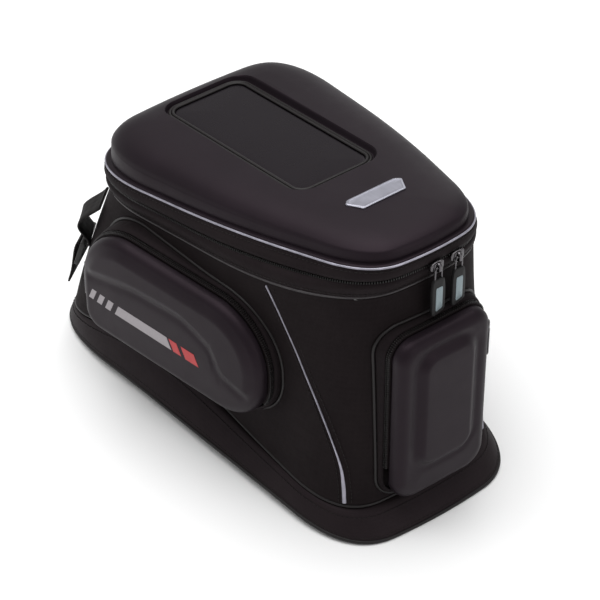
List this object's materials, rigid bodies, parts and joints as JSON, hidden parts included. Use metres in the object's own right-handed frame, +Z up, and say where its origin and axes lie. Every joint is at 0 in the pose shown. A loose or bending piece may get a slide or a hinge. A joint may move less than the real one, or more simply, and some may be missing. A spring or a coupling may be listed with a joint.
{
  "type": "motorcycle tank bag",
  "caption": "Semi-rigid motorcycle tank bag with a zipped hinged lid, phone window, moulded side and rear pockets and a quick-release base.",
  "frame": {"origin": "centre of the bounding box on the floor under the bag", "axes": "+Z up, +Y towards the front of the motorcycle, +X to the rider's right"},
  "size_m": [0.28, 0.422, 0.2794],
  "materials": {
    "moulded_eva": "satin coated EVA",
    "body_fabric": "fine dark weave",
    "zip_tape": "woven tape",
    "zip_coil": "nylon coil",
    "reflective_piping": "silver reflective cord",
    "window_film": "smoked clear film",
    "soft_rubber": "matt rubber",
    "emblem_metal": "brushed",
    "hardware_metal": "dark plated",
    "black_plastic": "moulded nylon",
    "board": "polyethylene board",
    "webbing": "black webbing"
  },
  "bodies": {
    "bag_body": {"base_skirt": "moulded_eva", "base_pan": "black_plastic", "floor_board": "board", "tub_wall": "body_fabric", "skirt_piping": "zip_tape", "lower_piping": "reflective_piping", "lower_zip_tape": "zip_tape", "lower_zip_coil": "zip_coil", "quick_release_ring": "black_plastic", "ring_backing_plate": "black_plastic", "ring_screw_1": "hardware_metal", "ring_screw_2": "hardware_metal", "ring_screw_3": "hardware_metal", "ring_screw_4": "hardware_metal", "seam_piping_left": "reflective_piping", "seam_piping_right": "reflective_piping", "left_pocket_gusset": "zip_tape", "left_pocket_zip_fixed": "zip_coil", "right_pocket_gusset": "zip_tape", "right_pocket_zip_fixed": "zip_coil", "rear_pocket_gusset": "zip_tape", "rear_pocket_zip_fixed": "zip_coil", "strap_loop_left": "webbing", "strap_loop_right": "webbing", "handle_patch_left": "webbing", "handle_patch_right": "webbing", "carry_handle": "webbing"},
    "lid": {"lid_shell": "moulded_eva", "upper_piping": "reflective_piping", "upper_zip_tape": "zip_tape", "upper_zip_coil": "zip_coil", "lid_hinge_strip": "zip_tape", "window_panel": "window_film", "window_rim": "soft_rubber", "phone_tray": "zip_tape", "phone_tray_flap": "zip_coil", "emblem_plate": "emblem_metal"},
    "release_button": {"release_button": "soft_rubber"},
    "main_slider_left": {"zip_slider_left": "hardware_metal"},
    "main_slider_right": {"zip_slider_right": "hardware_metal"},
    "main_pull_left": {"zip_loop_left": "hardware_metal", "zip_tab_left": "soft_rubber"},
    "main_pull_right": {"zip_loop_right": "hardware_metal", "zip_tab_right": "soft_rubber"},
    "buckle_left": {"ladder_lock_left": "black_plastic", "strap_tail_left": "webbing"},
    "buckle_right": {"ladder_lock_right": "black_plastic", "strap_tail_right": "webbing"},
    "left_pocket_front": {"left_pocket_shell": "moulded_eva", "left_pocket_zip_moving": "zip_coil"},
    "left_pocket_slider": {"left_pocket_slider": "hardware_metal"},
    "left_pocket_pull": {"left_pocket_pull": "hardware_metal"},
    "right_pocket_front": {"right_pocket_shell": "moulded_eva", "right_pocket_zip_moving": "zip_coil"},
    "right_pocket_slider": {"right_pocket_slider": "hardware_metal"},
    "right_pocket_pull": {"right_pocket_pull": "hardware_metal"},
    "rear_pocket_front": {"rear_pocket_shell": "moulded_eva", "rear_pocket_zip_moving": "zip_coil"},
    "rear_pocket_slider": {"rear_pocket_slider": "hardware_metal"},
    "rear_pocket_pull": {"rear_pocket_pull": "hardware_metal"}
  },
  "joints": [
    {"name": "lid_hinge", "type": "hinge", "parent": "bag_body", "child": "lid", "pos_m": [0, 0.146, 0.1909], "axis": [-1, 0, 0], "range_deg": [0, 100]},
    {"name": "main_slider_left_travel", "type": "slide", "parent": "bag_body", "child": "main_slider_left", "axis": [-1, 0, 0], "range_m": [0, 0.035]},
    {"name": "main_slider_right_travel", "type": "slide", "parent": "bag_body", "child": "main_slider_right", "axis": [1, 0, 0], "range_m": [0, 0.016]},
    {"name": "main_pull_left_swing", "type": "hinge", "parent": "main_slider_left", "child": "main_pull_left", "pos_m": [0, -0.19156, 0.25076], "axis": [-1, 0, 0], "range_deg": [0, 110]},
    {"name": "main_pull_right_swing", "type": "hinge", "parent": "main_slider_right", "child": "main_pull_right", "pos_m": [0.021, -0.18992, 0.25047], "axis": [-1, 0, 0], "range_deg": [0, 110]},
    {"name": "left_pocket_hinge", "type": "hinge", "parent": "bag_body", "child": "left_pocket_front", "pos_m": [-0.11054, -0.00023, 0.074], "axis": [0.1551, -0.9879, 0], "range_deg": [0, 45]},
    {"name": "right_pocket_hinge", "type": "hinge", "parent": "bag_body", "child": "right_pocket_front", "pos_m": [0.11054, -0.00023, 0.074], "axis": [0.1551, 0.9879, 0], "range_deg": [0, 45]},
    {"name": "rear_pocket_hinge", "type": "hinge", "parent": "bag_body", "child": "rear_pocket_front", "pos_m": [0, -0.1914, 0.034], "axis": [1, 0, 0], "range_deg": [0, 45]},
    {"name": "left_pocket_slider_travel", "type": "slide", "parent": "bag_body", "child": "left_pocket_slider", "axis": [0, 0, -1], "range_m": [0, 0.02]},
    {"name": "right_pocket_slider_travel", "type": "slide", "parent": "bag_body", "child": "right_pocket_slider", "axis": [0, 0, -1], "range_m": [0, 0.02]},
    {"name": "rear_pocket_slider_travel", "type": "slide", "parent": "bag_body", "child": "rear_pocket_slider", "axis": [0, 0, -1], "range_m": [0, 0.1]},
    {"name": "left_pocket_pull_swing", "type": "hinge", "parent": "left_pocket_slider", "child": "left_pocket_pull", "pos_m": [-0.12765, 0.10873, 0.123], "axis": [0.9879, 0.1551, 0], "range_deg": [0, 100]},
    {"name": "right_pocket_pull_swing", "type": "hinge", "parent": "right_pocket_slider", "child": "right_pocket_pull", "pos_m": [0.12765, 0.10873, 0.123], "axis": [0.9879, -0.1551, 0], "range_deg": [0, 100]},
    {"name": "rear_pocket_pull_swing", "type": "hinge", "parent": "rear_pocket_slider", "child": "rear_pocket_pull", "pos_m": [0.0533, -0.1914, 0.166], "axis": [0, -1, 0], "range_deg": [0, 100]},
    {"name": "buckle_left_swing", "type": "hinge", "parent": "bag_body", "child": "buckle_left", "pos_m": [-0.09086, 0.16389, 0.10407], "axis": [0.7955, 0.6059, 0], "range_deg": [0, 60]},
    {"name": "buckle_right_swing", "type": "hinge", "parent": "bag_body", "child": "buckle_right", "pos_m": [0.09086, 0.16389, 0.10407], "axis": [0.7955, -0.6059, 0], "range_deg": [0, 60]},
    {"name": "release_button_press", "type": "slide", "parent": "bag_body", "child": "release_button", "axis": [0, 1, 0], "range_m": [0, 0.004], "stiffness_N_per_m": 600, "springref_m": -0.002}
  ]
}
